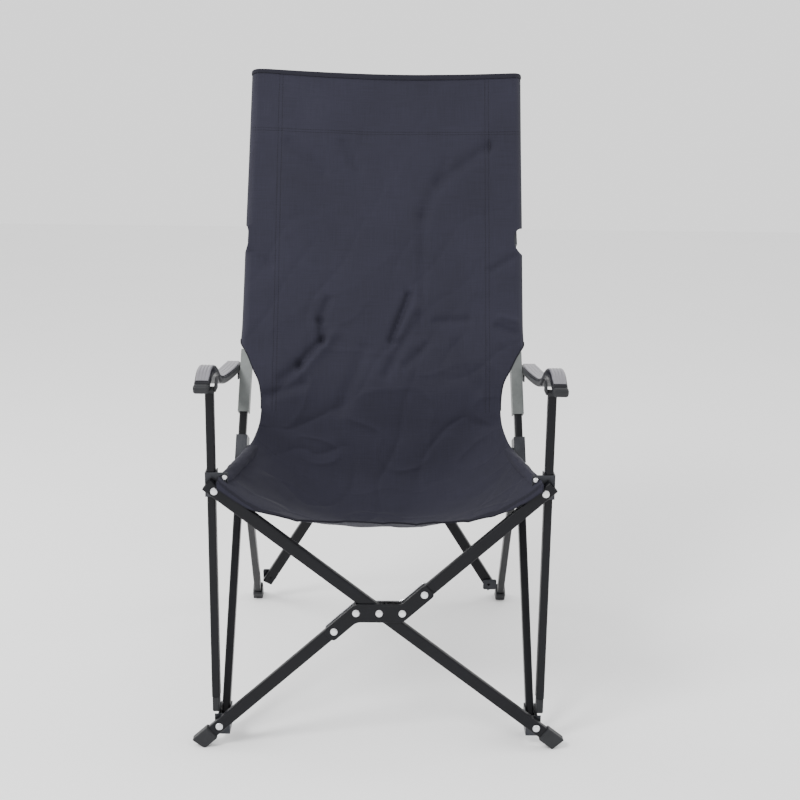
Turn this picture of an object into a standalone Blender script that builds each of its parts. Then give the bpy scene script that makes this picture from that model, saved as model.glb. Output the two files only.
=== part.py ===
"""High-back folding camp chair that collects towards its middle.

A pair of crossed front legs, two upright arm posts, two long back posts, two rear legs with a
crossed brace behind, S-shaped armrests and a hung fabric sling. Units are metres, +Z is up and the
chair faces -Y. The origin is on the ground, in the middle of the chair's width and depth.
Design positions are given from the plane of the arm posts, and `at` moves them to the chair's middle.
"""
import math

import bmesh
import bpy
from mathutils import Matrix, Vector

# ---- Driving dimensions -----------------------------------------------------------------------
DEPTH_MIDDLE = 0.2907          # arm-post plane to the middle of the chair's depth
GAP = 0.0003                   # space between pieces that touch

TUBE_WIDE = 0.020              # flat tube, long side
TUBE_THICK = 0.013             # flat tube, short side
TUBE_ROUND = 0.0028            # its corner radius
TUBE_WALL = 0.0012
PLATE = 0.0020                 # sheet steel of the brackets
RIVET_SHAFT = 0.0025
RIVET_HEAD = 0.0062
HOLE = RIVET_SHAFT + GAP

PIVOT_X = 0.2575               # front leg pivots, at the foot and at the seat
FOOT_PIVOT_Z = 0.0361
SEAT_PIVOT_Z = 0.4375
LEG_LAYER_Y = -0.0195          # middle of the front legs' thickness
LEG_PAST_SEAT = 0.016          # leg end above the seat pivot
LEG_PAST_FOOT = 0.0150         # leg end below the foot pivot, where its cap starts
LEG_SLANT = math.radians(42.4)  # slant of the two half legs
HUB_INNER_X = 0.0368           # hub rivets, from the hub's middle
HUB_OUTER = (0.0716, 0.0320)
HUB_HALF_TALL = 0.0155
HUB_HALF_ARM = 0.0120
HUB_PLATE = 0.0022

POST_X = 0.2640                # arm posts
POST_BOTTOM_Z = 0.080
POST_TOP_Z = 0.5900
ARM_PIVOT = (0.010, 0.604)     # front arm pivot (y, z)

BACK_BOTTOM = (0.2514, 0.0246, 0.040)   # back post at its foot pin
BACK_TOP = (0.2164, 0.4905, 1.055)
HINGE_Z = 0.440                # seat hinge bracket on the back post
LEG_SET_BACK = 0.024           # rear leg pin, behind the back post's axis
ARM_BRACKET_Z = (0.494, 0.593)
CROSS_Z = 0.781                # clamp of the rear cross on the back post
REAR_FOOT = (0.2497, 0.608, 0.0)
REAR_CAP = 0.034
RAIL_WIDE = 0.014
RAIL_THICK = 0.011
RAIL_REAR_X = 0.2102
RAIL_FRONT = (0.2378, 0.040, 0.4441)   # short of the corner bracket, which it passes as the chair folds

CROSS_UPPER_X = 0.196          # rear cross rivets
CROSS_SET_BACK = 0.034         # upper rivets, behind the back post's axis
CROSS_LOWER = (0.222, 0.575, 0.050)
CROSS_PAST = 0.014
CROSS_LAYER = 0.0069

ARM_THICK = 0.0125
EAR_INNER_X = 0.2535           # ear on the arm post's cap, which holds the armrest
EAR_THICK = 0.0022
EAR_SHAPE = [(-0.009, 0.5920), (0.021, 0.5920), (0.021, 0.6060), (0.0155, 0.6110), (0.0045, 0.6110),
             (-0.009, 0.6010)]
LUG_INNER_X = 0.2450           # lug at the armrest's rear end
LUG_SHAPE = [(0.2480, 0.5480), (0.2760, 0.5480), (0.2760, 0.5590), (0.2480, 0.5590)]

CORNER_Z = 0.424               # lower edge of the seat corner bracket
CORNER_TALL = 0.040
CORNER_TAB = 0.0270            # its tab, in from the arm post's axis
SCREW_Z = 0.4565               # screw that holds the sling's corner on the tab
SCREW_IN = 0.0050              # from the tab's inner edge
SWIVEL_THICK = 0.0024
SWIVEL_REACH = 0.0160
SWIVEL_BACK = 0.0110
SWIVEL_HALF_TALL = 0.0120

SLING_HALF = 0.2458            # sling half-width over the sleeves
SLEEVE_STITCH_X = 0.186
SLING_THICK = 0.0024
SLEEVE_DEPTH = 0.0150          # sleeve face from the back post's axis
NOTCH_TALL = 0.040             # gap in the sleeve where the rear cross is clamped


# ---- Small helpers ----------------------------------------------------------------------------
def at(x, y, z):
    """A design point in the chair's own frame."""
    return Vector((x, y - DEPTH_MIDDLE, z))


def on_line(start, end, z):
    """The point at height z on the straight line through two design points."""
    share = (z - start[2]) / (end[2] - start[2])
    return tuple(a + (b - a) * share for a, b in zip(start, end))


def axes_frame(origin, x_axis, z_axis):
    """A matrix with its origin and z axis as given, and its x axis as near x_axis as it can be."""
    z = z_axis.normalized()
    y = z.cross(x_axis).normalized()
    x = y.cross(z)
    turn = Matrix((x, y, z)).transposed().to_4x4()
    return Matrix.Translation(origin) @ turn


def paint(name, colour, roughness, metallic):
    material = bpy.data.materials.new(name)
    material.use_nodes = True
    shader = material.node_tree.nodes["Principled BSDF"]
    shader.inputs["Base Color"].default_value = (*colour, 1.0)
    shader.inputs["Roughness"].default_value = roughness
    shader.inputs["Metallic"].default_value = metallic
    return material


def finish(name, bm, material, pivot, frame=Matrix.Identity(4)):
    """Turn a bmesh built in `frame` into an object whose origin is the pivot its body turns on."""
    bm.transform(frame)
    bm.transform(Matrix.Translation(-pivot))
    bmesh.ops.recalc_face_normals(bm, faces=bm.faces)
    closed = not any(e.is_boundary for e in bm.edges)
    if closed and bm.calc_volume(signed=True) < 0:
        bmesh.ops.reverse_faces(bm, faces=bm.faces)
    mesh = bpy.data.meshes.new(name)
    bm.to_mesh(mesh)
    bm.free()
    mesh.shade_smooth()
    mesh.set_sharp_from_angle(angle=math.radians(32))
    mesh.materials.append(material)
    obj = bpy.data.objects.new(name, mesh)
    obj.location = pivot
    bpy.context.scene.collection.objects.link(obj)
    return obj


def combine(obj, other, operation):
    """Join another object to this one, or cut it away."""
    other.hide_render = True
    other.display_type = "WIRE"
    boolean = obj.modifiers.new(other.name, "BOOLEAN")
    boolean.operation = operation
    boolean.object = other
    return obj


def block_mesh(size, edge, segments=2):
    """A box from z = 0 up to its length, with its edges rounded."""
    bm = bmesh.new()
    bmesh.ops.create_cube(bm, size=1.0)
    bmesh.ops.scale(bm, vec=size, verts=bm.verts)
    bmesh.ops.translate(bm, vec=(0, 0, size[2] / 2), verts=bm.verts)
    bmesh.ops.bevel(bm, geom=bm.edges[:], offset=edge, segments=segments, profile=0.5,
                    affect="EDGES", clamp_overlap=True)
    return bm


def tube_mesh(wide, thick, length):
    """An open flat tube along z, from z = 0."""
    bm = bmesh.new()
    bmesh.ops.create_cube(bm, size=1.0)
    bmesh.ops.scale(bm, vec=(wide, thick, length), verts=bm.verts)
    bmesh.ops.translate(bm, vec=(0, 0, length / 2), verts=bm.verts)
    corners = [e for e in bm.edges if abs(e.verts[0].co.z - e.verts[1].co.z) > length / 2]
    bmesh.ops.bevel(bm, geom=corners, offset=TUBE_ROUND, segments=3, profile=0.5, affect="EDGES")
    bm.normal_update()
    ends = [f for f in bm.faces if abs(f.normal.z) > 0.9]
    bmesh.ops.inset_individual(bm, faces=ends, thickness=TUBE_WALL, use_even_offset=True)
    bmesh.ops.delete(bm, geom=ends, context="FACES_ONLY")
    bmesh.ops.bridge_loops(bm, edges=[e for e in bm.edges if e.is_boundary])
    return bm


def cylinder_mesh(radius, length, sides=16):
    bm = bmesh.new()
    bmesh.ops.create_cone(bm, cap_ends=True, segments=sides, radius1=radius, radius2=radius, depth=length)
    return bm


def drill(obj, point, axis, radius=HOLE, length=0.06):
    """Bore a hole through a piece, centred on a point."""
    side = Vector((0, 0, 1)) if abs(axis.z) < 0.9 else Vector((1, 0, 0))
    cutter = finish(obj.name + "_hole_guide", cylinder_mesh(radius, length, 12), STEEL,
                    point, axes_frame(point, side, axis))
    return combine(obj, cutter, "DIFFERENCE")


def lathe_mesh(profile, steps=16):
    """A turned solid from (radius, height) points that start and end on the axis."""
    bm = bmesh.new()
    verts = [bm.verts.new((r, 0, z)) for r, z in profile]
    edges = [bm.edges.new(pair) for pair in zip(verts, verts[1:])]
    bmesh.ops.spin(bm, geom=verts + edges, cent=(0, 0, 0), axis=(0, 0, 1), angle=math.tau,
                   steps=steps, use_merge=True)
    bmesh.ops.remove_doubles(bm, verts=bm.verts, dist=1e-6)
    return bm


def rivet_profile(length, head=RIVET_HEAD, tail=0.0):
    """A domed rivet: its head stands above z = 0 and its shaft goes down to -length."""
    rise = head * 0.38
    dome = [(head * math.cos(a), rise * math.sin(a)) for a in (math.pi / 2, 1.05, 0.55, 0.0)]
    dome[0] = (0.0, rise)
    end = [(tail, -length), (tail * 0.8, -length - 0.0012), (0.0, -length - 0.0012)] if tail else []
    return dome + [(RIVET_SHAFT, 0.0), (RIVET_SHAFT, -length)] + (end or [(0.0, -length)])


def rivet(name, head_point, outward, length, pivot, head=RIVET_HEAD, tail=0.0):
    """A rivet or a headed pin that goes in from head_point, against `outward`."""
    aside = X_AXIS if abs(outward.z) > 0.9 else Z_AXIS
    return finish(name, lathe_mesh(rivet_profile(length, head, tail)), STEEL, pivot,
                  axes_frame(head_point, aside, outward))


def outline_mesh(points, thickness, round_=0.0, edge=0.0):
    """A flat plate: an outline in x and y with rounded corners, drawn up along z."""
    bm = bmesh.new()
    verts = [bm.verts.new((x, y, 0)) for x, y in points]
    bm.faces.new(verts)
    if round_:
        bmesh.ops.bevel(bm, geom=bm.verts[:], offset=round_, segments=4, profile=0.5,
                        affect="VERTICES", clamp_overlap=True)
    drawn = bmesh.ops.extrude_face_region(bm, geom=bm.faces[:])
    moved = [g for g in drawn["geom"] if isinstance(g, bmesh.types.BMVert)]
    bmesh.ops.translate(bm, vec=(0, 0, thickness), verts=moved)
    bmesh.ops.recalc_face_normals(bm, faces=bm.faces)
    if edge:
        rims = [e for e in bm.edges if abs(e.verts[0].co.z - e.verts[1].co.z) < 1e-7]
        bmesh.ops.bevel(bm, geom=rims, offset=edge, segments=1, profile=0.5, affect="EDGES")
    return bm


def side_frame(side, inner_x):
    """A frame for a plate drawn in y and z that stands outwards from inner_x."""
    return Matrix(((0, 0, side, side * inner_x), (1, 0, 0, -DEPTH_MIDDLE), (0, 1, 0, 0), (0, 0, 0, 1)))


def cut_level(bm, frame):
    """Place a mesh and cut off what would stand below the ground."""
    bm.transform(frame)
    bmesh.ops.bisect_plane(bm, geom=bm.verts[:] + bm.edges[:] + bm.faces[:], dist=1e-6,
                           plane_co=(0, 0, 0), plane_no=(0, 0, 1), clear_inner=True)
    bmesh.ops.holes_fill(bm, edges=[e for e in bm.edges if e.is_boundary], sides=0)
    return bm


def tube(name, start, end, side, pivot, material, wide=TUBE_WIDE, thick=TUBE_THICK):
    run = end - start
    return finish(name, tube_mesh(wide, thick, run.length), material, pivot,
                  axes_frame(start, side, run))


def channel(name, base, side, up, length, reach, pivot, material):
    """A U-shaped bracket wrapped round a tube, open to the rear, with walls `reach` deep."""
    inner = TUBE_THICK / 2 + 0.0010
    outer = inner + PLATE
    front = -TUBE_WIDE / 2 - GAP
    points = [(-outer, front - PLATE), (outer, front - PLATE), (outer, reach), (inner, reach),
              (inner, front), (-inner, front), (-inner, reach), (-outer, reach)]
    return finish(name, outline_mesh(points, length), material, pivot, axes_frame(base, side, up))


# ---- Start from an empty scene ------------------------------------------------------------------
for old in list(bpy.data.objects):
    bpy.data.objects.remove(old)

STEEL = paint("bright_steel", (0.72, 0.72, 0.74), 0.28, 1.0)
TUBE_PAINT = paint("black_tube", (0.018, 0.018, 0.02), 0.35, 0.6)
BRACKET = paint("grey_steel", (0.30, 0.31, 0.33), 0.35, 0.9)
PLASTIC = paint("dark_plastic", (0.03, 0.03, 0.034), 0.5, 0.0)
ARM_PLASTIC = paint("arm_grey", (0.42, 0.43, 0.45), 0.3, 0.0)
CLOTH = paint("sling_cloth", (0.022, 0.026, 0.04), 0.85, 0.0)

X_AXIS = Vector((1, 0, 0))
Y_AXIS = Vector((0, 1, 0))
Z_AXIS = Vector((0, 0, 1))
FRONT = -Y_AXIS

HUB_Z = (FOOT_PIVOT_Z + SEAT_PIVOT_Z) / 2
LEG_FRONT_Y = LEG_LAYER_Y - TUBE_THICK / 2
LEG_REAR_Y = LEG_LAYER_Y + TUBE_THICK / 2
LEG_TILT = math.atan2(SEAT_PIVOT_Z - FOOT_PIVOT_Z, 2 * PIVOT_X)
HUB = at(0, LEG_LAYER_Y, HUB_Z)


def foot_pivot(side):
    return at(side * PIVOT_X, LEG_LAYER_Y, FOOT_PIVOT_Z)


def seat_pivot(side):
    return at(side * PIVOT_X, LEG_LAYER_Y, SEAT_PIVOT_Z)


# ---- Crossed front legs -------------------------------------------------------------------------
def foot_cap(name, side, leg_foot, down, pivot):
    """A plastic boot on a leg's end, with a tongue in the tube, cut off level with the ground."""
    half_wide = 0.0125
    lower_end = 0.0290
    upper_end = 0.0336
    outline = [(-half_wide, 0), (half_wide, 0), (half_wide, upper_end), (-half_wide, lower_end)]
    if side < 0:
        outline = [(-x, y) for x, y in reversed(outline)]
    depth = 0.0157
    across = Vector((-down.z, 0, down.x))
    front_face = leg_foot + down * GAP
    front_face.y = at(0, LEG_REAR_Y + GAP - depth, 0).y
    frame = Matrix.Translation(front_face) @ Matrix((across, down, Y_AXIS)).transposed().to_4x4()
    boot = finish(name, cut_level(outline_mesh(outline, depth, 0.0022, 0.0016), frame), PLASTIC, pivot)
    tongue_size = (TUBE_WIDE - 2 * TUBE_WALL - 0.001, TUBE_THICK - 2 * TUBE_WALL - 0.001, 0.016)
    tongue_frame = axes_frame(leg_foot - down * 0.010, across, down)
    tongue = finish(name + "_tongue_guide", block_mesh(tongue_size, 0.0008, 1), PLASTIC, pivot, tongue_frame)
    return combine(boot, tongue, "UNION")


def front_legs():
    slope = Vector((math.cos(LEG_TILT), 0, -math.sin(LEG_TILT)))
    across = Vector((math.sin(LEG_TILT), 0, math.cos(LEG_TILT)))
    past_foot = LEG_PAST_FOOT
    top = seat_pivot(-1) - slope * LEG_PAST_SEAT
    bottom = foot_pivot(1) + slope * past_foot
    through = tube("front_leg_through", top, bottom, across, HUB, TUBE_PAINT)
    for point in (seat_pivot(-1), HUB, foot_pivot(1)):
        drill(through, point, Y_AXIS)
    foot_cap("front_foot_cap_right", 1, bottom, slope, HUB)

    slant = Vector((math.cos(LEG_SLANT), 0, math.sin(LEG_SLANT)))
    slant_across = Vector((-slant.z, 0, slant.x))
    pivot = foot_pivot(-1)
    inner = HUB + X_AXIS * HUB_INNER_X
    outer = HUB + Vector((HUB_OUTER[0], 0, HUB_OUTER[1]))
    for name, sign, far in (("front_leg_upper_half", 1, seat_pivot(1)),
                            ("front_leg_lower_half", -1, foot_pivot(-1))):
        near_hub = HUB + (inner - HUB) * sign
        run = (far - near_hub).normalized()
        past = LEG_PAST_SEAT if sign > 0 else past_foot
        half = tube(name, near_hub - run * 0.008, far + run * past, slant_across, pivot, TUBE_PAINT)
        for point in (near_hub, HUB + (outer - HUB) * sign, far):
            drill(half, point, Y_AXIS)
        if sign < 0:
            foot_cap("front_foot_cap_left", -1, far + run * past, run, pivot)

    past_rivet = 0.0125
    along = Vector((slant.x, slant.z))
    normal = Vector((-slant.z, slant.x)) * HUB_HALF_ARM
    corner_top = (HUB_HALF_TALL - normal.y) / along.y
    corner_low = (-HUB_HALF_TALL + normal.y) / along.y
    inner_2d = Vector((HUB_INNER_X, 0))
    outer_2d = Vector(HUB_OUTER) + along * past_rivet
    half_outline = [inner_2d - normal + along * corner_low, outer_2d - normal, outer_2d + normal,
                    inner_2d + normal + along * corner_top]
    outline = [tuple(p) for p in half_outline] + [tuple(-p) for p in half_outline]
    rear_y = LEG_REAR_Y + GAP + HUB_PLATE
    front_frame = axes_frame(at(0, LEG_FRONT_Y - GAP, HUB_Z), X_AXIS, FRONT)
    rear_frame = axes_frame(at(0, rear_y, HUB_Z), X_AXIS, FRONT)
    front_plate = finish("front_hub_plate", outline_mesh(outline, HUB_PLATE, 0.0065, 0.0004), TUBE_PAINT,
                         pivot, front_frame)
    rear_plate = finish("front_hub_rivet_plate", outline_mesh(outline, HUB_PLATE, 0.0065, 0.0004), STEEL,
                        pivot, rear_frame)
    head_y = LEG_FRONT_Y - 2 * GAP - HUB_PLATE
    for x, z in hub_points():
        drill(front_plate, HUB + Vector((x, 0, z)), Y_AXIS, length=0.02 + TUBE_THICK)
        shank = rivet("hub_rivet_guide", at(x, head_y, HUB_Z + z), FRONT, rear_y - 0.0007 - head_y, pivot)
        combine(rear_plate, shank, "UNION")


def hub_points():
    """Rivet places on the hub, from its middle."""
    x, z = HUB_OUTER
    return [(0, 0), (HUB_INNER_X, 0), (-HUB_INNER_X, 0), (x, z), (-x, -z)]


# ---- Foot joints and arm posts ------------------------------------------------------------------
def foot_joint(side, word):
    """Plate behind the crossed leg, with two ears that hold the back post's lower end."""
    pivot = foot_pivot(side)
    back_x = BACK_BOTTOM[0]
    ear_in = back_x - TUBE_THICK / 2 - 0.0010 - PLATE
    ear_out = back_x + TUBE_THICK / 2 + 0.0010 + PLATE
    plate_out = PIVOT_X + 0.0085
    front_y = LEG_REAR_Y + 2 * GAP
    rear_y = 0.0340
    points = [(ear_in, front_y), (plate_out, front_y), (plate_out, front_y + PLATE),
              (ear_out, front_y + PLATE), (ear_out, rear_y), (ear_out - PLATE, rear_y),
              (ear_out - PLATE, front_y + PLATE), (ear_in + PLATE, front_y + PLATE),
              (ear_in + PLATE, rear_y), (ear_in, rear_y)]
    points = [(side * x, y - DEPTH_MIDDLE) for x, y in points]
    joint = finish("foot_joint_" + word, outline_mesh(points, 0.036, 0.0, 0.0003), BRACKET, pivot,
                   Matrix.Translation((0, 0, 0.016)))
    drill(joint, pivot, Y_AXIS, length=0.0185)
    pin_point = at(side * back_x, BACK_BOTTOM[1], BACK_BOTTOM[2])
    drill(joint, pin_point, X_AXIS)
    grip = front_y + PLATE - LEG_FRONT_Y
    rivet("foot_rivet_" + word, at(side * PIVOT_X, LEG_FRONT_Y - GAP, FOOT_PIVOT_Z), FRONT, grip, pivot)
    pin_head = at(side * (ear_out + GAP), BACK_BOTTOM[1], BACK_BOTTOM[2])
    rivet("foot_pin_" + word, pin_head, X_AXIS * side, ear_out - ear_in + 2 * GAP, pivot, 0.0048, 0.0040)


def arm_post(side, word):
    pivot = seat_pivot(side)
    low = at(side * POST_X, 0, POST_BOTTOM_Z)
    high = at(side * POST_X, 0, POST_TOP_Z)
    tube("arm_post_" + word, low, high, Y_AXIS, pivot, TUBE_PAINT)

    plug_length = 0.0255
    plug = finish("arm_post_plug_" + word, block_mesh((0.0115, 0.0190, plug_length), 0.002), PLASTIC, pivot,
                  Matrix.Translation(low - Z_AXIS * (plug_length + GAP)))
    tongue = finish(plug.name + "_tongue_guide", block_mesh((0.0095, 0.0165, 0.018), 0.0008, 1), PLASTIC,
                    pivot, Matrix.Translation(low - Z_AXIS * 0.006))
    combine(plug, tongue, "UNION")

    cap = finish("arm_post_cap_" + word, block_mesh((0.0150, 0.0222, 0.0062), 0.0012), PLASTIC, pivot,
                 Matrix.Translation(high + Z_AXIS * GAP))
    ear = finish("arm_post_ear_" + word + "_guide", outline_mesh(EAR_SHAPE, EAR_THICK, 0.001), PLASTIC,
                 pivot, side_frame(side, EAR_INNER_X))
    bridge = finish("arm_post_bridge_" + word + "_guide", block_mesh((0.0075, 0.0120, 0.0040), 0.0004, 1),
                    PLASTIC, pivot, Matrix.Translation(at(side * (EAR_INNER_X + 0.0040), 0, 0.5920)))
    combine(cap, ear, "UNION")
    combine(cap, bridge, "UNION")

    inner = TUBE_THICK / 2 + 0.0004
    outer = inner + PLATE
    reach = TUBE_WIDE / 2 + 0.0004
    wall = reach + PLATE
    tab_in = POST_X - CORNER_TAB
    points = [(tab_in, -wall), (POST_X + outer, -wall), (POST_X + outer, wall), (POST_X + inner, wall),
              (POST_X + inner, -reach), (POST_X - inner, -reach), (POST_X - inner, wall),
              (POST_X - outer, wall), (POST_X - outer, -reach), (tab_in, -reach)]
    points = [(side * x, y - DEPTH_MIDDLE) for x, y in points]
    bracket = finish("seat_corner_bracket_" + word, outline_mesh(points, CORNER_TALL, 0.0, 0.0003), BRACKET,
                     pivot, Matrix.Translation((0, 0, CORNER_Z)))
    drill(bracket, pivot, Y_AXIS)
    rivet("seat_rivet_" + word, at(side * PIVOT_X, LEG_FRONT_Y - GAP, SEAT_PIVOT_Z), FRONT,
          -reach - LEG_FRONT_Y - GAP, pivot)
    screw_x = tab_in + SCREW_IN
    screw = lathe_mesh([(0, 0.0022), (0.0030, 0.0020), (0.0042, 0.0006), (0.0042, 0), (0, 0)])
    finish("sling_corner_screw_" + word, screw, STEEL, pivot,
           axes_frame(at(side * screw_x, -wall - 0.0016, SCREW_Z), Z_AXIS, FRONT))


# ---- Back posts, rear legs and seat rails ---------------------------------------------------------
def back_frame(side, z, set_back=0.0):
    """A point on the back post's axis, or behind it, with the post's own directions."""
    low = at(side * BACK_BOTTOM[0], *BACK_BOTTOM[1:])
    high = at(side * BACK_TOP[0], *BACK_TOP[1:])
    up = (high - low).normalized()
    point = at(*on_line(BACK_BOTTOM, BACK_TOP, z))
    point.x *= side
    behind = X_AXIS.cross(up).normalized() * -1
    return point + behind * set_back, up, behind


def back_post(side, word):
    pivot = at(side * BACK_BOTTOM[0], *BACK_BOTTOM[1:])
    point, up, behind = back_frame(side, BACK_BOTTOM[2])
    cap = 0.010
    top, _, _ = back_frame(side, BACK_TOP[2])
    low = point - up * 0.0125
    post = tube("back_post_" + word, low, top - up * cap, behind, pivot, TUBE_PAINT)
    drill(post, point, X_AXIS)
    plug = finish("back_post_cap_" + word, block_mesh((TUBE_WIDE, TUBE_THICK, cap - GAP), 0.0025), PLASTIC,
                  pivot, axes_frame(top - up * (cap - GAP), behind, up))
    tongue = finish(plug.name + "_tongue_guide", block_mesh((0.0165, 0.0095, 0.018), 0.0008, 1), PLASTIC,
                    pivot, axes_frame(top - up * 0.022, behind, up))
    combine(plug, tongue, "UNION")
    base, _, _ = back_frame(side, ARM_BRACKET_Z[0])
    length = (ARM_BRACKET_Z[1] - ARM_BRACKET_Z[0]) / up.z
    channel("arm_bracket_" + word, base, X_AXIS, up, length, 0.0130, pivot, STEEL)
    hinge_bracket(side, word, pivot)
    clamp_base, _, _ = back_frame(side, CROSS_Z - 0.014)
    channel("cross_clamp_" + word, clamp_base, X_AXIS, up, 0.030, 0.0420, pivot, BRACKET)


def hinge_bracket(side, word, pivot):
    """U bracket on the back post: the rear leg turns between its ears, the seat rail beside it."""
    base, up, _ = back_frame(side, HINGE_Z - 0.022)
    bracket = channel("seat_hinge_bracket_" + word, base, X_AXIS, up, 0.044, 0.0320, pivot, BRACKET)
    leg_pin, _, _ = back_frame(side, HINGE_Z, LEG_SET_BACK)
    drill(bracket, leg_pin, X_AXIS)
    half = TUBE_THICK / 2 + 0.0010 + PLATE + 0.0006
    outward = X_AXIS * side
    rail_pin, _, _ = back_frame(side, HINGE_Z)
    pin_root = abs(rail_pin.x) - half
    pin_tip = RAIL_REAR_X - RAIL_THICK / 2 - 4 * GAP
    tip = Vector((side * pin_tip, rail_pin.y, rail_pin.z))
    rivet("rear_leg_pin_" + word, leg_pin + outward * half, outward, 2 * half, pivot, 0.0050, 0.0042)
    stud = rivet("seat_rail_stud_guide", tip, -outward, pin_root - pin_tip + PLATE, pivot, 0.0048)
    combine(bracket, stud, "UNION")


def rear_leg(side, word):
    pin, _, _ = back_frame(side, HINGE_Z, LEG_SET_BACK)
    foot = at(side * REAR_FOOT[0], REAR_FOOT[1], REAR_FOOT[2])
    down = (foot - pin).normalized()
    behind = X_AXIS.cross(down).normalized()
    leg = tube("rear_leg_" + word, pin - down * 0.0095, foot - down * REAR_CAP, behind, pin, TUBE_PAINT)
    drill(leg, pin, X_AXIS)
    size = (0.0270, 0.0195, REAR_CAP + 0.012)
    cap_frame = axes_frame(foot - down * (REAR_CAP - GAP), behind, down)
    cap = finish("rear_foot_cap_" + word, cut_level(block_mesh(size, 0.0028), cap_frame), PLASTIC, pin)
    tongue = finish(cap.name + "_tongue_guide", block_mesh((0.0165, 0.0095, 0.020), 0.0008, 1), PLASTIC,
                    pin, axes_frame(foot - down * (REAR_CAP + 0.012), behind, down))
    combine(cap, tongue, "UNION")


def seat_rail(side, word):
    pin, _, _ = back_frame(side, HINGE_Z)
    rear = Vector((side * RAIL_REAR_X, pin.y, pin.z))
    front = at(side * RAIL_FRONT[0], *RAIL_FRONT[1:])
    run = (front - rear).normalized()
    rail = tube("seat_rail_" + word, rear - run * 0.009, front, Z_AXIS, rear, TUBE_PAINT,
                RAIL_WIDE, RAIL_THICK)
    drill(rail, rear, X_AXIS)


# ---- Armrests -------------------------------------------------------------------------------------
ARM_CURVE = [(-0.030, 0.6125), (0.000, 0.6215), (0.030, 0.6230), (0.065, 0.6130), (0.100, 0.5915),
             (0.140, 0.5810), (0.190, 0.5760), (0.250, 0.5735), (0.285, 0.5720)]
ARM_EDGES = [(-0.030, 0.2600, 0.2838), (0.030, 0.2587, 0.2850), (0.140, 0.2540, 0.2835),
             (0.250, 0.2440, 0.2730), (0.285, 0.2445, 0.2700)]


def smooth_value(table, column, y):
    """A value between the rows of a table, on a smooth curve through them."""
    last = len(table) - 2
    i = next((k for k in range(last) if y <= table[k + 1][0]), last)
    rows = [table[max(0, min(last + 1, i + k))] for k in (-1, 0, 1, 2)]
    t = (y - rows[1][0]) / (rows[2][0] - rows[1][0])
    a, b, c, d = (row[column] for row in rows)
    return b + 0.5 * t * (c - a + t * (2 * a - 5 * b + 4 * c - d + t * (3 * (b - c) + d - a)))


def armrest(side, word):
    """A flat moulding that humps over the arm post, dips, and ends beside the back post."""
    pivot = at(side * POST_X, *ARM_PIVOT)
    bm = bmesh.new()
    stations = 22
    first, last = ARM_CURVE[0][0], ARM_CURVE[-1][0]
    rings = []
    for k in range(stations + 1):
        y = first + (last - first) * k / stations
        top = smooth_value(ARM_CURVE, 1, y)
        x_in = smooth_value(ARM_EDGES, 1, y)
        x_out = smooth_value(ARM_EDGES, 2, y)
        corners = [(x_in, top - ARM_THICK), (x_out, top - ARM_THICK), (x_out, top), (x_in, top)]
        rings.append([bm.verts.new(at(side * x, y, z)) for x, z in corners])
    for ring, following in zip(rings, rings[1:]):
        for j in range(4):
            bm.faces.new((ring[j], ring[(j + 1) % 4], following[(j + 1) % 4], following[j]))
    bm.faces.new(rings[0])
    bm.faces.new(rings[-1])
    bmesh.ops.recalc_face_normals(bm, faces=bm.faces)
    sharp = [e for e in bm.edges if e.calc_face_angle(0) > 1.0]
    bmesh.ops.bevel(bm, geom=sharp, offset=0.0030, segments=2, profile=0.5, affect="EDGES")
    finish("armrest_" + word, bm, ARM_PLASTIC, pivot)

    y, top = ARM_CURVE[0]
    x_mid = (ARM_EDGES[0][1] + ARM_EDGES[0][2]) / 2
    cap = block_mesh((ARM_EDGES[0][2] - ARM_EDGES[0][1] + 0.001, ARM_THICK + 0.0010, 0.0110), 0.0040, 3)
    slope = Vector((0, -1, -0.30)).normalized()
    finish("armrest_front_cap_" + word, cap, PLASTIC, pivot,
           axes_frame(at(side * x_mid, y - 0.0022, top - ARM_THICK / 2 - 0.0008), X_AXIS, slope))
    finish("armrest_rear_lug_" + word, outline_mesh(LUG_SHAPE, EAR_THICK, 0.003), BRACKET, pivot,
           side_frame(side, LUG_INNER_X))


# ---- Crossed brace behind ---------------------------------------------------------------------------
def cross_frame():
    """Upper and lower rivet heights of the rear cross, and the directions of its plane."""
    upper, _, _ = back_frame(1, CROSS_Z, CROSS_SET_BACK)
    upper = Vector((CROSS_UPPER_X, upper.y, upper.z))
    lower = at(*CROSS_LOWER)
    up = Vector((0, upper.y - lower.y, upper.z - lower.z)).normalized()
    behind = -X_AXIS.cross(up)
    return upper, lower, up, behind


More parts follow.
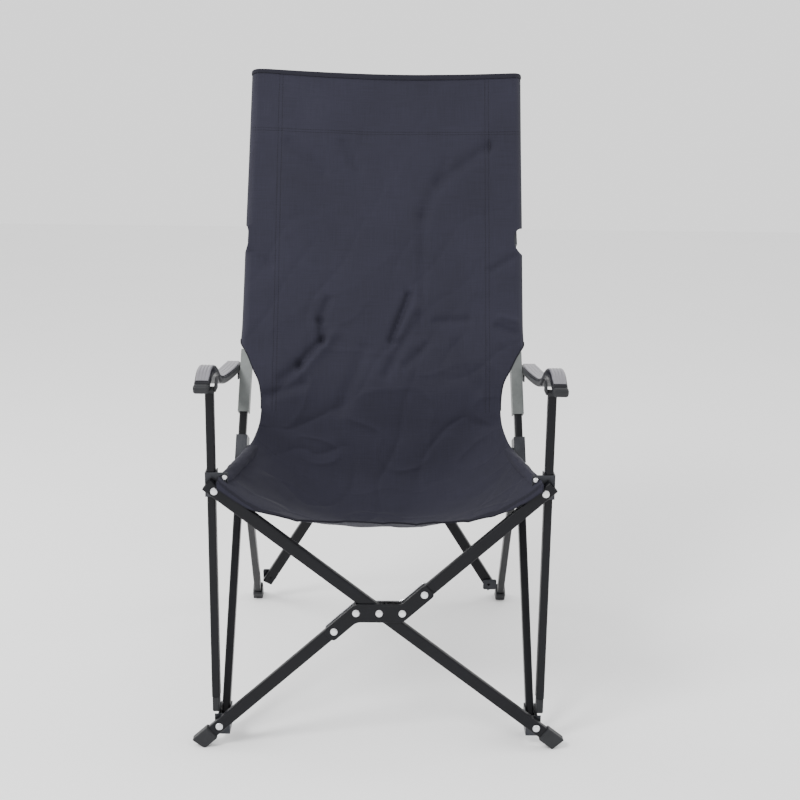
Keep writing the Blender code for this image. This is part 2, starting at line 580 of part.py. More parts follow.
def rear_cross():
    upper, lower, up, behind = cross_frame()
    share = CROSS_UPPER_X / (CROSS_UPPER_X + CROSS_LOWER[0])
    centre = upper.lerp(lower, share)
    centre.x = 0
    left_top = Vector((-upper.x, upper.y, upper.z))
    for name, sign, layer, pivot in (("rear_cross_front", -1, -CROSS_LAYER, left_top),
                                     ("rear_cross_rear", 1, CROSS_LAYER, centre)):
        top = Vector((sign * upper.x, upper.y, upper.z)) + behind * layer
        bottom = Vector((-sign * lower.x, lower.y, lower.z)) + behind * layer
        run = (bottom - top).normalized()
        leg = tube(name, top - run * CROSS_PAST, bottom + run * CROSS_PAST, run.cross(behind), pivot,
                   TUBE_PAINT)
        for point in (top, centre + behind * layer, bottom):
            drill(leg, point, behind)
    thick = CROSS_LAYER + TUBE_THICK / 2 + GAP
    rivet("rear_cross_rivet", centre + behind * thick, behind, 2 * thick, left_top, tail=0.0045)

    away = CROSS_LAYER + TUBE_THICK / 2 + GAP
    for word, side in (("left", -1), ("right", 1)):
        top = Vector((side * upper.x, upper.y, upper.z))
        bottom = Vector((side * lower.x, lower.y, lower.z))
        rear_face = away + SWIVEL_THICK
        swivel("cross_top_swivel_" + word, top, side, up, behind, -away if side < 0 else rear_face)
        swivel("cross_foot_swivel_" + word, bottom, side, up, behind, rear_face if side < 0 else -away)


def swivel(name, point, side, up, behind, rear_face):
    """A small plate riveted on a cross tube's end, reaching out towards the post beside it."""
    tall = SWIVEL_HALF_TALL
    outline = [(-SWIVEL_BACK, -tall), (SWIVEL_REACH, -tall), (SWIVEL_REACH, tall), (-SWIVEL_BACK, tall)]
    frame = Matrix((X_AXIS * side, up, behind)).transposed().to_4x4()
    frame = Matrix.Translation(point + behind * (rear_face - SWIVEL_THICK)) @ frame
    plate = finish(name, outline_mesh(outline, SWIVEL_THICK, 0.004, 0.0003), BRACKET, point, frame)
    drill(plate, point, behind)


# ---- Sling ------------------------------------------------------------------------------------------
def sling_back():
    """The hung back: a sheet in front of the back posts that turns round them into two sleeves."""
    half_wide = SLING_HALF
    depth = SLEEVE_DEPTH
    half = [(0.0, -depth), (0.10, -depth), (0.186, -depth), (0.228, -depth), (0.2400, -depth * 0.8),
            (half_wide, 0), (0.2400, depth * 0.8), (0.228, depth), (SLEEVE_STITCH_X, depth)]
    path = [(-x, d) for x, d in reversed(half[1:])] + half
    _, _, behind = back_frame(1, HINGE_Z)
    low, high = 0.606, 1.0555
    bm = bmesh.new()
    rows = []
    for z in (low, (low + high) / 2, high):
        base = at(0, *on_line(BACK_BOTTOM, BACK_TOP, z)[1:])
        rows.append([bm.verts.new(base + X_AXIS * x + behind * d) for x, d in path])
    for row, above in zip(rows, rows[1:]):
        for j in range(len(path) - 1):
            bm.faces.new((row[j], row[j + 1], above[j + 1], above[j]))
    bmesh.ops.recalc_face_normals(bm, faces=bm.faces)
    obj = finish("sling_back", bm, CLOTH, at(-BACK_BOTTOM[0], *BACK_BOTTOM[1:]))
    thicken(obj)
    for side in (-1, 1):
        base, up, _ = back_frame(side, CROSS_Z - NOTCH_TALL / 2)
        notch = finish("sling_notch_guide", block_mesh((0.042, 0.090, NOTCH_TALL), 0.001, 1), CLOTH, base,
                       axes_frame(base + X_AXIS * side * 0.006, X_AXIS, up))
        combine(obj, notch, "DIFFERENCE")
        rear_base = base - X_AXIS * side * 0.022 + behind * 0.023 - up * 0.016
        rear_notch = finish("sling_rear_notch_guide", block_mesh((0.098, 0.036, 0.060), 0.001, 1), CLOTH,
                            base, axes_frame(rear_base, X_AXIS, up))
        combine(obj, rear_notch, "DIFFERENCE")


SEAT_PROFILE = [   # (y, z at the middle, z at the edge, half-width), from the back down to the front
    (0.2700, 0.6000, 0.6000, 0.2180), (0.2480, 0.5300, 0.5330, 0.2040), (0.2240, 0.4550, 0.4790, 0.1990),
    (0.1900, 0.3900, 0.4600, 0.2020), (0.1500, 0.3560, 0.4580, 0.2080), (0.1000, 0.3480, 0.4570, 0.2170),
    (0.0500, 0.3560, 0.4560, 0.2260), (0.0100, 0.3720, 0.4550, 0.2320), (-0.0150, 0.3880, 0.4540, 0.2340)]


def sling_seat():
    """The hung seat: from the bottom of the back, down over the seat rails and out to the front."""
    bm = bmesh.new()
    across = 12
    rows = []
    for y, middle, edge, half_wide in SEAT_PROFILE:
        row = []
        for j in range(across + 1):
            u = 2 * j / across - 1
            z = middle + (edge - middle) * abs(u) ** 2.6
            row.append(bm.verts.new(at(half_wide * u, y, z)))
        rows.append(row)
    for row, following in zip(rows, rows[1:]):
        for j in range(across):
            bm.faces.new((row[j], row[j + 1], following[j + 1], following[j]))
    obj = finish("sling_seat", bm, CLOTH, at(-RAIL_REAR_X, *on_line(BACK_BOTTOM, BACK_TOP, HINGE_Z)[1:]))
    thicken(obj)


def thicken(obj):
    solidify = obj.modifiers.new("cloth_thickness", "SOLIDIFY")
    solidify.thickness = SLING_THICK
    solidify.offset = 0.0
    solidify.use_even_offset = True


# ---- The chair --------------------------------------------------------------------------------------
front_legs()
for WORD, SIDE in (("left", -1), ("right", 1)):
    foot_joint(SIDE, WORD)
    arm_post(SIDE, WORD)
    back_post(SIDE, WORD)
    rear_leg(SIDE, WORD)
    seat_rail(SIDE, WORD)
    armrest(SIDE, WORD)
rear_cross()
sling_back()
sling_seat()
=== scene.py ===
# %% [markdown]
# # The looks of a high-back folding camp chair
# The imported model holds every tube, bracket, rivet and plastic cap at its real size. This file dresses it: a hung
# cloth sling with sleeves, hems and creases, ribbed armrest covers, and a finish for each metal and plastic.
# The model is loaded first, because every new piece takes its place from it.

# %% Load the frame
import math

import bmesh
import bpy
from mathutils import Matrix, Vector, noise


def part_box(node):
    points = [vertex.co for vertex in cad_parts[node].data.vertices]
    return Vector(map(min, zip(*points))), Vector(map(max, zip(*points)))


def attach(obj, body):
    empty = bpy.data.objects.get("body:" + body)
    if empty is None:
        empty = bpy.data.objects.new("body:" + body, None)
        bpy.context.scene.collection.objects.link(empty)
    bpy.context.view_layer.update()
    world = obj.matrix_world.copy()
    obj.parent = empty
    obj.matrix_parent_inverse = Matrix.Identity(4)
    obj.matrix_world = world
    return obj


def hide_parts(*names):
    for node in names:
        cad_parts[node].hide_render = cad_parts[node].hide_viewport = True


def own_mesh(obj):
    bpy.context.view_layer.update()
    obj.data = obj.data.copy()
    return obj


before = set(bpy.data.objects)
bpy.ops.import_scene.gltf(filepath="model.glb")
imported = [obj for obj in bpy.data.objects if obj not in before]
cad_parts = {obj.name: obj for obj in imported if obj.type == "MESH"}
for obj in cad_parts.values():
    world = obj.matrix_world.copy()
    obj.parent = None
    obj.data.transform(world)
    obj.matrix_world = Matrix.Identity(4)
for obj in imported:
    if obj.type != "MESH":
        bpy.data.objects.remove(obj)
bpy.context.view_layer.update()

print("pieces in the frame:", len(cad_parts))

# %% [markdown]
# ## Where the posts are
# A sling chair is drawn from its posts. The arm posts stand in one upright plane, and depths are easiest to think of
# as distances behind it. The back posts lean, so a point on the sling's back is found from a height and a distance
# behind the leaning axis. Both come from the boxes of the frame's own pieces, so the cloth can't drift off them.

# %% Post plane and leaning axis


def middle(node):
    """The middle of a frame piece's box."""
    low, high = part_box(node)
    return (low + high) / 2


POST_PLANE = middle("arm_post_left").y
BACK_FOOT = middle("foot_pin_left")
BACK_TOP = middle("back_post_cap_left")
LEAN = math.atan2(BACK_TOP.y - BACK_FOOT.y, BACK_TOP.z - BACK_FOOT.z)
SLING_TOP_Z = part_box("sling_back")[1].z - 0.006


def behind_posts(z, depth):
    """(distance behind the arm posts, height) of a point `depth` behind the back posts' axis."""
    y = BACK_FOOT.y - POST_PLANE + (z - BACK_FOOT.z) * math.tan(LEAN)
    return y + depth * math.cos(LEAN), z - depth * math.sin(LEAN)


print("back posts lean", round(math.degrees(LEAN), 1), "degrees")

# %% [markdown]
# ## Maths in a material
# A material is a graph of nodes, and its arithmetic soon hides the idea behind it. This small class wraps one output,
# so that an ordinary expression adds the Math nodes: `1 - mask` or `wave * 0.5` reads as it would on paper.

# %% A socket that can be calculated with


class Signal:
    """One output of a material's graph, used in sums like a number."""

    def __init__(self, finish, socket):
        self.finish = finish
        self.socket = socket

    def maths(self, operation, *values):
        places = dict(enumerate(values))
        return self.finish.add("ShaderNodeMath", {"operation": operation}, places, 0)

    def __add__(self, other):
        return self.maths("ADD", self, other)

    __radd__ = __add__

    def __sub__(self, other):
        return self.maths("SUBTRACT", self, other)

    def __rsub__(self, other):
        return self.maths("SUBTRACT", other, self)

    def __mul__(self, other):
        return self.maths("MULTIPLY", self, other)

    __rmul__ = __mul__

    def __truediv__(self, other):
        return self.maths("DIVIDE", self, other)

    def __rtruediv__(self, other):
        return self.maths("DIVIDE", other, self)

    def __abs__(self):
        return self.maths("ABSOLUTE", self)

    def wave(self, period):
        """A sine that repeats every `period` metres, from -1 to 1."""
        return self.maths("SINE", self * (math.tau / period))

    def clipped(self):
        """Held between 0 and 1."""
        return self.maths("MINIMUM", self.maths("MAXIMUM", self, 0.0), 1.0)


# %% [markdown]
# ## One way to make any finish
# Each finish is a Principled shader. What is the same all over is set straight on the shader, and only what changes
# over the surface comes from nodes. `add` makes any node: its type, its settings first, then what goes in.

# %% The finish maker


class Finish:
    """A material being made, with one method for all its nodes."""

    def __init__(self, name, **constants):
        self.material = bpy.data.materials.new(name)
        self.material.use_nodes = True
        self.tree = self.material.node_tree
        self.shader = self.tree.nodes["Principled BSDF"]
        for socket, value in constants.items():
            self.shader.inputs[socket.replace("_", " ")].default_value = value

    def add(self, kind, settings, places, output):
        node = self.tree.nodes.new(kind)
        for name, value in settings.items():
            if name == "stops":
                for element, (position, colour) in zip(node.color_ramp.elements, value):
                    element.position = position
                    element.color = (*colour, 1.0)
            else:
                setattr(node, name, value)
        for place, value in places.items():
            self.plug(node.inputs[place], value)
        return Signal(self, node.outputs[output])

    def plug(self, socket, value):
        if isinstance(value, Signal):
            self.tree.links.new(value.socket, socket)
        else:
            socket.default_value = value

    def drive(self, socket, value):
        self.plug(self.shader.inputs[socket], value)

    def place(self):
        return self.add("ShaderNodeTexCoord", {}, {}, "Object")

    def noise(self, where, scale, detail=3.0, stretch=(1.0, 1.0, 1.0)):
        """Soft random spots from 0 to 1, `scale` of them to the metre."""
        spread = self.add("ShaderNodeVectorMath", {"operation": "MULTIPLY"}, {0: where, 1: stretch}, 0)
        return self.add("ShaderNodeTexNoise", {}, {"Vector": spread, "Scale": scale, "Detail": detail}, 0)

    def shades(self, amount, dark, light):
        return self.add("ShaderNodeValToRGB", {"stops": [(0.0, dark), (1.0, light)]}, {0: amount}, 0)

    def relief(self, height, depth):
        """Raise the surface by `height`, from 0 to 1, times `depth` metres."""
        bump = self.add("ShaderNodeBump", {}, {"Strength": 1.0, "Distance": depth, "Height": height}, 0)
        self.drive("Normal", bump)


# %% [markdown]
# ## Powder-coated steel tube
# The frame is flat steel tube with a satin black coat. Powder melts into a skin that is smooth but never quite flat,
# with a fine orange peel, and handling leaves slightly duller patches. Noise on object coordinates gives both, since
# a coat has no direction, and a thin clear coat gives the tight highlight along each tube.

# %% Black tube coat


def tube_coat():
    finish = Finish("black_tube_coat", Metallic=0.0, Coat_Roughness=0.12, Specular_IOR_Level=0.14)
    where = finish.place()
    patches = finish.noise(where, 26.0)
    peel = finish.noise(where, 900.0, 2.0)
    specks = ((finish.noise(where, 340.0, 1.0) - 0.70) * 9.0).clipped()
    finish.drive("Base Color", finish.shades((patches * 0.8 + specks * 0.5).clipped(),
                                             (0.0022, 0.0023, 0.0032), (0.0085, 0.0088, 0.0115)))
    finish.drive("Roughness", patches * 0.16 + 0.30)
    finish.drive("Coat Weight", 0.10 - patches * 0.08)
    finish.relief(peel, 0.00006)
    return finish.material


BLACK_TUBE = tube_coat()
print("made", BLACK_TUBE.name)

# %% [markdown]
# ## Zinc-plated rivets and bright brackets
# Rivets and the bracket behind each armrest are bare plated steel. Plating is bright with a faint cloud to it, and the
# rolled sheet underneath shows as fine lines along one direction. Stretching a noise makes those lines.

# %% Bright and grey steel


def plated_steel(name, dark, light, roughness, lines):
    finish = Finish(name, Metallic=1.0)
    where = finish.place()
    clouds = finish.noise(where, 60.0)
    rolled = finish.noise(where, 500.0, 2.0, stretch=(1.0, 1.0, 0.06))
    finish.drive("Base Color", finish.shades((clouds * 0.7 + rolled * 0.3).clipped(), dark, light))
    finish.drive("Roughness", rolled * 0.18 + clouds * 0.10 + roughness)
    finish.relief(rolled, lines)
    return finish.material


BRIGHT_STEEL = plated_steel("bright_zinc", (0.55, 0.56, 0.58), (0.86, 0.86, 0.88), 0.16, 0.00003)
SATIN_STEEL = plated_steel("satin_bracket_steel", (0.085, 0.092, 0.090), (0.19, 0.20, 0.198), 0.34, 0.00004)
GREY_STEEL = plated_steel("grey_bracket_steel", (0.018, 0.019, 0.022), (0.070, 0.072, 0.080), 0.28, 0.00003)
print("made", BRIGHT_STEEL.name, SATIN_STEEL.name, GREY_STEEL.name)

# %% [markdown]
# ## Moulded plastic
# Feet, plugs and armrest ends are injection moulded. The mould is spark-textured, which leaves a fine pebble, and the
# skin is a little uneven in gloss. Two sizes of noise added together make a pebble that doesn't look like a grid.

# %% Dark plastic and armrest plastic


def moulded_plastic(name, dark, light, roughness, pebble, gloss=0.0):
    finish = Finish(name, Metallic=0.0, Coat_Roughness=0.14, Specular_IOR_Level=0.2)
    where = finish.place()
    flow = finish.noise(where, 35.0)
    grain = finish.noise(where, 1500.0, 2.0) * 0.6 + finish.noise(where, 620.0, 1.0) * 0.4
    finish.drive("Base Color", finish.shades((flow * 0.6 + grain * 0.4).clipped(), dark, light))
    finish.drive("Roughness", flow * 0.12 + grain * 0.10 + roughness)
    finish.drive("Coat Weight", flow * 0.06 + gloss)
    finish.relief(grain, pebble)
    return finish.material


DARK_PLASTIC = moulded_plastic("dark_moulding", (0.0060, 0.0062, 0.0075), (0.026, 0.027, 0.030),
                               0.36, 0.00012)
ARM_BLACK = moulded_plastic("armrest_body", (0.0040, 0.0040, 0.0060), (0.014, 0.014, 0.018),
                            0.26, 0.00004, gloss=0.06)
ARM_GREY = moulded_plastic("armrest_ribs", (0.105, 0.102, 0.114), (0.215, 0.209, 0.232),
                           0.26, 0.00004, gloss=0.25)
print("made", DARK_PLASTIC.name, ARM_BLACK.name, ARM_GREY.name)

# %% [markdown]
# ## Oxford cloth
# The sling is coated oxford cloth: a plain weave of thick dull yarn, dark slate in colour. Each yarn is about a
# millimetre wide, a few run slightly lighter along their whole length, and sewn seams show as a pressed line with
# dashes of thread. The weave has to follow the cloth round its bends, so it is drawn on the piece's own flat pattern,
# a UV map measured in metres. `rim` is an attribute with the distance to the nearest cut edge, for the hems.

# %% Cloth finish

THREAD = 0.0011            # one yarn to the next
STITCH = 0.0046            # one stitch to the next
LINE = 0.0011              # half the width of a sewn line


def sewn_line(distance, along):
    """(pressed line, thread dashes) for a row of stitches where `distance` is zero."""
    line = (1 - abs(distance) / LINE).clipped()
    dashes = (along.wave(STITCH) * 2.0 + 1.2).clipped()
    return line, line * dashes


def oxford_cloth(name, seams_across=(), seams_along=(), seams_rim=(), dark=1.0):
    """seams_along run up the cloth at a distance from its middle, seams_across at a distance from its top."""
    finish = Finish(name, Metallic=0.0, Sheen_Weight=0.05, Sheen_Roughness=0.45, Specular_IOR_Level=0.16)
    flat = finish.add("ShaderNodeUVMap", {"uv_map": "cut"}, {}, 0)
    across = finish.add("ShaderNodeSeparateXYZ", {}, {0: flat}, 0)
    along = Signal(finish, across.socket.node.outputs[1])
    rim = finish.add("ShaderNodeAttribute", {"attribute_name": "rim"}, {}, 2)
    weave = across.wave(THREAD * 2) * along.wave(THREAD * 2) * 0.5 + 0.5
    slubs = finish.noise(flat, 700.0, 1.0, stretch=(1.0, 0.03, 1.0)) * 0.5
    slubs = slubs + finish.noise(flat, 700.0, 1.0, stretch=(0.03, 1.0, 1.0)) * 0.5
    mottle = finish.noise(flat, 1100.0, 2.0)
    fading = finish.noise(flat, 7.0, 2.0)
    pressed, thread = 0.0, 0.0
    rows = [(abs(across) - x, along) for x in seams_along]
    rows += [(along - y, across) for y in seams_across]
    rows += [(rim - d, across + along) for d in seams_rim]
    for distance, run in rows:
        line, dashes = sewn_line(distance, run)
        pressed = line + pressed
        thread = dashes + thread
    edge = (1 - rim / 0.0022).clipped()
    tone = slubs * 0.55 + mottle * 0.30 + fading * 0.35 + weave * 0.10 - 0.12 - edge * 0.5
    # Sewn lines are darkened along their pressed groove as painted shade in the recess, and the thread dashes are
    # lighter thread.
    if rows:
        tone = tone - pressed * 0.34 + thread * 0.20
    finish.drive("Base Color", finish.shades(tone.clipped(), (0.0048 * dark, 0.0047 * dark, 0.0080 * dark),
                                             (0.0275 * dark, 0.0268 * dark, 0.0435 * dark)))
    finish.drive("Roughness", slubs * 0.10 + 0.74)
    height = weave * 0.35 + slubs * 0.45
    if rows:
        height = height - pressed * 1.6 + thread * 1.1
    finish.relief(height, 0.00035)
    return finish.material


BACK_CLOTH = oxford_cloth("sling_back_cloth", seams_across=(0.110, 0.1145), seams_along=(0.1865, 0.1800),
                          seams_rim=(0.0072,))
SEAT_CLOTH = oxford_cloth("sling_seat_cloth", seams_rim=(0.0052, 0.0098))
PLAIN_CLOTH = oxford_cloth("sling_sleeve_cloth")
# The hem cloth is the sling cloth at 0.62 of its colour: painted shade on the folded hems and bindings.
SHADED_HEM_CLOTH = oxford_cloth("sling_hem_cloth_painted_shade", dark=0.62)
print("made", BACK_CLOTH.name, SEAT_CLOTH.name, PLAIN_CLOTH.name, SHADED_HEM_CLOTH.name)

# %% [markdown]
# ## The shape of the hung cloth
# The sling is one length of cloth. It lies across the front of the back posts, narrows below the armrests, dives
# behind the seat, and is drawn forward over the seat rails to the arm posts, sagging between them. It could be a cloth
# simulation, but a sling under tension keeps a shape that is easy to state: at each station along its length, a
# middle, an edge, a half-width, how round the edge rolls, and how flat the sag is. Smooth curves join the stations.

# %% Stations along the sling

HALF_WIDTH = 0.2458
FACE = -0.0150             # the cloth's face, in front of the back posts' axis
TAUT = 8.0                 # a flatness from which the cloth doesn't sag at all
# (middle depth, middle height, half-width, edge depth, edge height, roll, flatness)
BACK_STATIONS = [(*behind_posts(z, FACE), half, *behind_posts(z, FACE), roll, TAUT)
                 for z, half, roll in ((SLING_TOP_Z, 0.2446, 0.0145), (1.00, 0.2450, 0.015),
                                       (0.93, 0.2453, 0.015), (0.86, 0.2456, 0.015), (0.80, 0.2458, 0.015),
                                       (0.74, 0.2458, 0.015), (0.68, 0.2458, 0.015), (0.632, 0.2460, 0.0145),
                                       (0.610, 0.2468, 0.0130), (0.602, 0.2456, 0.0090),
                                       (0.594, 0.2405, 0.0050), (0.582, 0.2320, 0.0025))]
SEAT_STATIONS = [(0.2512, 0.5680, 0.2215, 0.2510, 0.5680, 0.0020, TAUT),
                 (0.2436, 0.5480, 0.2110, 0.2430, 0.5490, 0.0020, 7.0),
                 (0.2362, 0.5250, 0.2065, 0.2350, 0.5280, 0.0020, 6.0),
                 (0.2275, 0.4920, 0.2055, 0.2260, 0.5030, 0.0025, 4.5),
                 (0.2170, 0.4550, 0.2085, 0.2150, 0.4790, 0.0040, 3.4),
                 (0.1900, 0.3920, 0.2160, 0.1860, 0.4625, 0.0070, 2.8),
                 (0.1500, 0.3590, 0.2240, 0.1480, 0.4600, 0.0080, 2.6),
                 (0.1000, 0.3490, 0.2325, 0.1000, 0.4595, 0.0080, 2.6),
                 (0.0500, 0.3560, 0.2415, 0.0500, 0.4600, 0.0080, 2.6),
                 (0.0100, 0.3700, 0.2490, 0.0080, 0.4605, 0.0060, 2.8),
                 (-0.0100, 0.3800, 0.2515, -0.0150, 0.4595, 0.0040, 3.2),
                 (-0.0190, 0.3850, 0.2515, -0.0275, 0.4545, 0.0015, 3.6),
                 (-0.0245, 0.3880, 0.2495, -0.0296, 0.4400, 0.0010, 4.0)]
STATIONS = BACK_STATIONS + SEAT_STATIONS


def lengths_along(stations):
    """The distance from the first station to each, down the cloth's middle."""
    marks = [0.0]
    for a, b in zip(stations, stations[1:]):
        marks.append(marks[-1] + math.dist(a[:2], b[:2]))
    return marks


MARKS = lengths_along(STATIONS)
CLOTH_LENGTH = MARKS[-1]
SPLIT = MARKS[len(BACK_STATIONS) + 3]           # back above, seat below
FREE_EDGE = MARKS[len(BACK_STATIONS) - 4]       # below it the side edge hangs free of the post


def held(value):
    """A number held between 0 and 1."""
    return max(0.0, min(1.0, value))


def left_pull(side, z):
    """The left sleeve is drawn in a little further than the right one, most of all at the top."""
    if side > 0:
        return 0.0
    return held((z - 0.56) / 0.04) * (0.0030 + 0.0055 * held((z - 0.61) / 0.44))


print("the sling is", round(CLOTH_LENGTH, 3), "m long, and its seat starts at", round(SPLIT, 3))

# %% [markdown]
# ## Reading the shape between the stations
# A Catmull-Rom curve passes through every station without kinks. The same formula serves each column of the table,
# so one function gives the whole cross-section at any distance down the cloth.

# %% A smooth station anywhere


def station(along):
    """The seven station values at a distance down the cloth."""
    last = len(MARKS) - 2
    i = next((k for k in range(last) if along <= MARKS[k + 1]), last)
    rows = [STATIONS[max(0, min(last + 1, i + k))] for k in (-1, 0, 1, 2)]
    t = (along - MARKS[i]) / (MARKS[i + 1] - MARKS[i])
    values = []
    for a, b, c, d in zip(*rows):
        values.append(b + 0.5 * t * (c - a + t * (2 * a - 5 * b + 4 * c - d + t * (3 * (b - c) + d - a))))
    return values


def facing(along):
    """The direction that the cloth faces at its middle: forwards on the back, upwards on the seat."""
    step = 0.004
    a = station(max(0.0, along - step))
    b = station(min(CLOTH_LENGTH, along + step))
    run = Vector((0, b[0] - a[0], b[1] - a[1])).normalized()
    return run.cross(Vector((1, 0, 0)))


print("at the top the cloth faces", [round(v, 2) for v in facing(0.0)])

# %% [markdown]
# ## Creases
# Cloth that hangs from two sleeves pulls slantwise from its sewn corners and crumples where the back turns into the
# seat. Each crease is a short line, with a depth and a width, and it fades towards both ends. They are listed one by
# one, because a real chair's creases are few and lie where the load is. Slow noise between them keeps the cloth from
# looking ironed.

# %% Crease lines on the back
# (x, height, x, height, depth, width), positive depth presses the cloth in
CREASES = [(-0.0934, 0.680, -0.1073, 0.646, 0.0030, 0.007), (-0.1073, 0.646, -0.1027, 0.615, 0.0042, 0.006),
           (-0.1027, 0.615, -0.1413, 0.574, 0.0050, 0.007), (-0.1413, 0.574, -0.1720, 0.550, 0.0036, 0.009),
           (0.0458, 0.688, 0.0171, 0.615, 0.0055, 0.0065), (0.0600, 0.668, 0.0300, 0.620, -0.0030, 0.010),
           (0.1086, 0.906, 0.0711, 0.819, 0.0022, 0.012), (0.0711, 0.819, 0.0660, 0.627, 0.0020, 0.009),
           (0.1886, 0.938, 0.0960, 0.874, 0.0028, 0.010), (-0.1663, 0.938, -0.1074, 0.890, 0.0026, 0.010),
           (-0.0699, 0.938, -0.0450, 0.897, 0.0020, 0.010), (0.0909, 0.646, 0.1480, 0.649, 0.0022, 0.006),
           (-0.1979, 0.521, -0.1365, 0.543, 0.0030, 0.009), (0.0580, 0.654, 0.0077, 0.559, 0.0028, 0.008),
           (-0.0821, 0.625, -0.1384, 0.564, -0.0026, 0.009), (0.0768, 0.607, 0.0422, 0.575, 0.0024, 0.007),
           (-0.0300, 0.600, -0.0700, 0.500, 0.0022, 0.012), (0.1300, 0.610, 0.1650, 0.540, 0.0022, 0.010),
           (0.1976, 0.640, 0.2319, 0.628, 0.0026, 0.005), (0.2050, 0.655, 0.2330, 0.648, -0.0018, 0.005),
           (0.1900, 0.730, 0.2300, 0.752, 0.0024, 0.006), (-0.1950, 0.735, -0.2300, 0.755, 0.0018, 0.006)]


CREASE_STRENGTH = 1.6


def crease_depth(x, z):
    """How far the cloth is pressed in at a point of the back."""
    total = 0.0
    for x0, z0, x1, z1, depth, width in CREASES:
        run = Vector((x1 - x0, z1 - z0))
        share = (Vector((x - x0, z - z0)).dot(run)) / run.length_squared
        nearest = Vector((x0, z0)) + run * held(share)
        away = (Vector((x, z)) - nearest).length
        past = max(0.0, -share, share - 1.0)
        total += depth * math.exp(-(away / width) ** 2 - (past * 1.5) ** 2)
    return total * CREASE_STRENGTH


def slow_folds(x, along):
    """Gentle waves, deeper towards the turn into the seat."""
    share = min(1.0, along / SPLIT)
    slanted = noise.noise(Vector((x * 9.0 + along * 4.0, along * 5.0, 3.1)))
    fine = noise.noise(Vector((x * 26.0 - along * 9.0, along * 11.0, 8.7)))
    ridge = (1 - abs(noise.noise(Vector((x * 13.0 + along * 8.0, along * 7.0 - x * 3.0, 5.3))))) ** 9
    cross = (1 - abs(noise.noise(Vector((x * 8.0 - along * 9.0, along * 12.0 + x * 5.0, 1.9))))) ** 12
    crumple = (ridge * 0.0024 - cross * 0.0016) * (0.25 + 0.75 * share ** 2)
    return slanted * (0.0020 + 0.0028 * share) + fine * 0.0012 + crumple


print("creases:", len(CREASES))

# %% [markdown]
# ## The sling surface
# One function gives a point of the cloth from its place across (-1 to 1) and its distance down. The middle seven
# eighths lie flat or sag, and the rest rolls back round the post or rail. The top edge dips between the posts, and a
# round notch on each side lets the rear brace reach the post.

# %% A point of the cloth

ROLL_START = 0.86
TOP_DIP = 0.0125
DIP_LENGTH = 0.20          # how far down the cloth the dip fades out
NOTCH_Z = middle("cross_clamp_left").z + 0.006
NOTCH_HALF = 0.021
NOTCH_DEEP = {-1: 0.0060, 1: 0.0150}


def notch_share(side, z):
    """1 in the middle of a notch, 0 outside it."""
    away = abs(z - NOTCH_Z) / NOTCH_HALF
    return math.sqrt(1 - away * away) if away < 1 else 0.0


def cloth_point(across, along, lift=0.0):
    """(point, flat distance from the middle, distance to the side edge) on the cloth's face."""
    side = -1 if across < 0 else 1
    share = abs(across)
    centred = (across * 0.86 - 0.10) / 0.80
    dip = TOP_DIP * max(0.0, 1 - centred * centred) * max(0.0, 1 - along / DIP_LENGTH)
    along = along + dip
    mid_y, mid_z, half, edge_y, edge_z, roll, flatness = station(along)
    notch = notch_share(side, mid_z) if along < SPLIT else 0.0
    half -= NOTCH_DEEP[side] * notch + left_pull(side, mid_z)
    roll = max(0.0012, roll * (1 - min(1.0, notch * 1.6)))
    flat_end = half - roll
    if share < ROLL_START:
        x = share / ROLL_START * flat_end
        angle = 0.0
    else:
        angle = (share - ROLL_START) / (1 - ROLL_START) * math.pi / 2
        x = flat_end + roll * math.sin(angle)
    sag = (x / half) ** flatness if flatness < TAUT - 0.1 else 0.0
    face = facing(along)
    point = Vector((side * x, mid_y + (edge_y - mid_y) * sag, mid_z + (edge_z - mid_z) * sag))
    quiet = min(1.0, (1 - share) / 0.25) * min(1.0, 0.15 + along / 0.06)
    pressed = crease_depth(side * x, mid_z) * min(1.0, (1 - share) / 0.06) if along < SPLIT + 0.06 else 0.0
    sunk = pressed + slow_folds(side * x, along) * quiet + roll * (1 - math.cos(angle))
    point += face * (lift * math.cos(angle) - sunk) + Vector((side * math.sin(angle) * lift, 0, 0))
    point.y += POST_PLANE
    return point, side * (x + roll * (angle - math.sin(angle)) * 0.4), (1 - share) / (1 - ROLL_START) * 0.02


print("the notch is at", round(NOTCH_Z, 3), "m")

# %% [markdown]
# ## Cutting a piece of cloth
# Every cloth piece starts as a grid, which is how woven cloth behaves: straight yarns one way and the other. The grid's
# points are moved onto the shape, the flat pattern is kept as a UV map in metres before they move, and Solidify gives
# the cloth its thickness at the end. The armrest covers are thin skins too, so the same function makes them.

# %% Grid to cloth

CLOTH_THICK = 0.0015


def grid_piece(name, columns, rows, place, material, thickness=CLOTH_THICK):
    """place(s, t) gives (point, flat x, flat y, distance to a cut edge) for s and t from 0 to 1."""
    bm = bmesh.new()
    bmesh.ops.create_grid(bm, x_segments=columns, y_segments=rows, size=0.5)
    cut = bm.loops.layers.uv.new("cut")
    rim = bm.verts.layers.float.new("rim")
    flat = {}
    for vert in bm.verts:
        s, t = vert.co.x + 0.5, 0.5 - vert.co.y
        point, flat_x, flat_y, edge = place(s, t)
        flat[vert] = (flat_x, flat_y)
        vert[rim] = edge
        vert.co = point
    for face in bm.faces:
        for loop in face.loops:
            loop[cut].uv = flat[loop.vert]
    bm.normal_update()
    area = sum(face.calc_area() for face in bm.faces)
    mesh = bpy.data.meshes.new(name)
    bm.to_mesh(mesh)
    bm.free()
    mesh.materials.append(material)
    mesh.shade_smooth()
    piece = bpy.data.objects.new(name, mesh)
    bpy.context.scene.collection.objects.link(piece)
    thick = piece.modifiers.new("thickness", "SOLIDIFY")
    thick.thickness = thickness
    thick.offset = -1.0
    thick.use_even_offset = False
    widths = [p[0] for p in flat.values()]
    lengths = [p[1] for p in flat.values()]
    size = (max(widths) - min(widths), max(lengths) - min(lengths))
    print(name, "cut", [round(v, 3) for v in size], "area", round(area, 4))
    return piece, size, area


